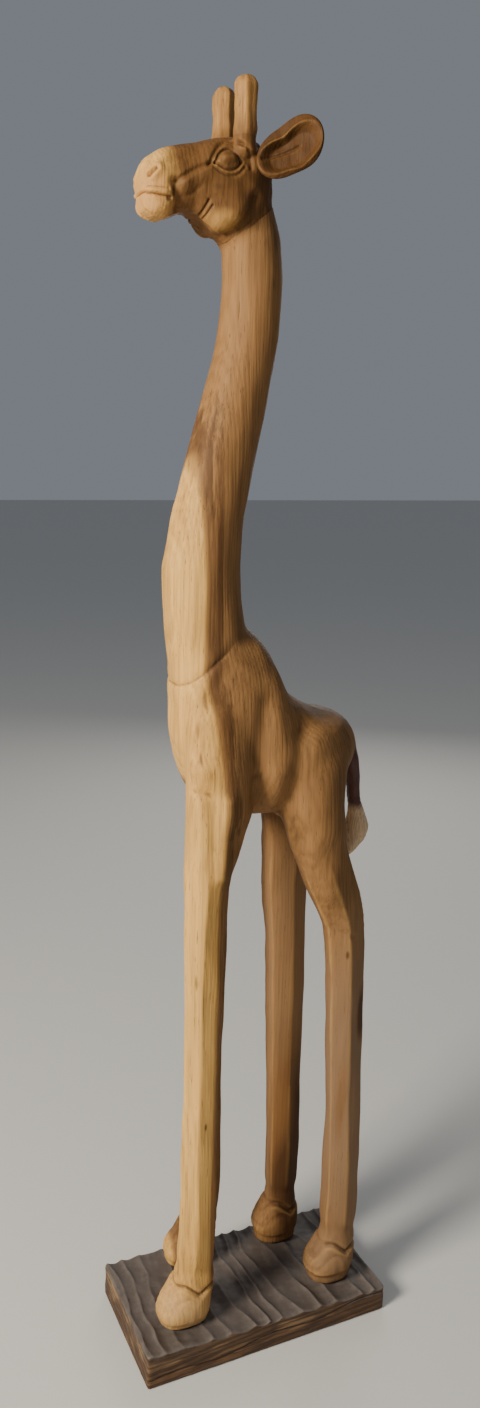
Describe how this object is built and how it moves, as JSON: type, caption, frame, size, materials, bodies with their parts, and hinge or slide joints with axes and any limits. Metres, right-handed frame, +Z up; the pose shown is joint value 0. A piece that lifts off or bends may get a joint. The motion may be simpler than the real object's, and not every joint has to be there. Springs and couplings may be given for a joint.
{
  "type": "carved giraffe statue",
  "caption": "Tall standing giraffe carved in wood, with horns, ears and tail, on a dark stained rectangular plank with a gouged top.",
  "frame": {"origin": "centre of the plank's flat underside, at the level of the floor", "axes": "+Z up, the giraffe faces -Y, and its left side is +X"},
  "size_m": [0.218, 0.42, 1.869],
  "materials": {
    "carved_wood": "oiled, hand-carved, pale sapwood with brown heartwood streaks",
    "tail_heartwood": "oiled dark heartwood",
    "dark_stained_wood": "matt dark stain over gouged plank, worn brown sides",
    "dowel_wood": "plain, glued in",
    "screw_steel": "zinc plated"
  },
  "bodies": {
    "root": {"base_plank": "dark_stained_wood", "torso": "carved_wood", "neck": "carved_wood", "head": "carved_wood", "front_left_leg": "carved_wood", "front_right_leg": "carved_wood", "hind_left_leg": "carved_wood", "hind_right_leg": "carved_wood", "left_ear": "carved_wood", "right_ear": "carved_wood", "left_horn": "carved_wood", "right_horn": "carved_wood", "tail": "tail_heartwood", "neck_dowel_front": "dowel_wood", "neck_dowel_rear": "dowel_wood", "head_dowel": "dowel_wood", "tail_dowel": "dowel_wood", "front_left_leg_dowel": "dowel_wood", "front_right_leg_dowel": "dowel_wood", "hind_left_leg_dowel": "dowel_wood", "hind_right_leg_dowel": "dowel_wood", "front_left_foot_screw": "screw_steel", "front_right_foot_screw": "screw_steel", "hind_left_foot_screw": "screw_steel", "hind_right_foot_screw": "screw_steel"}
  },
  "joints": []
}
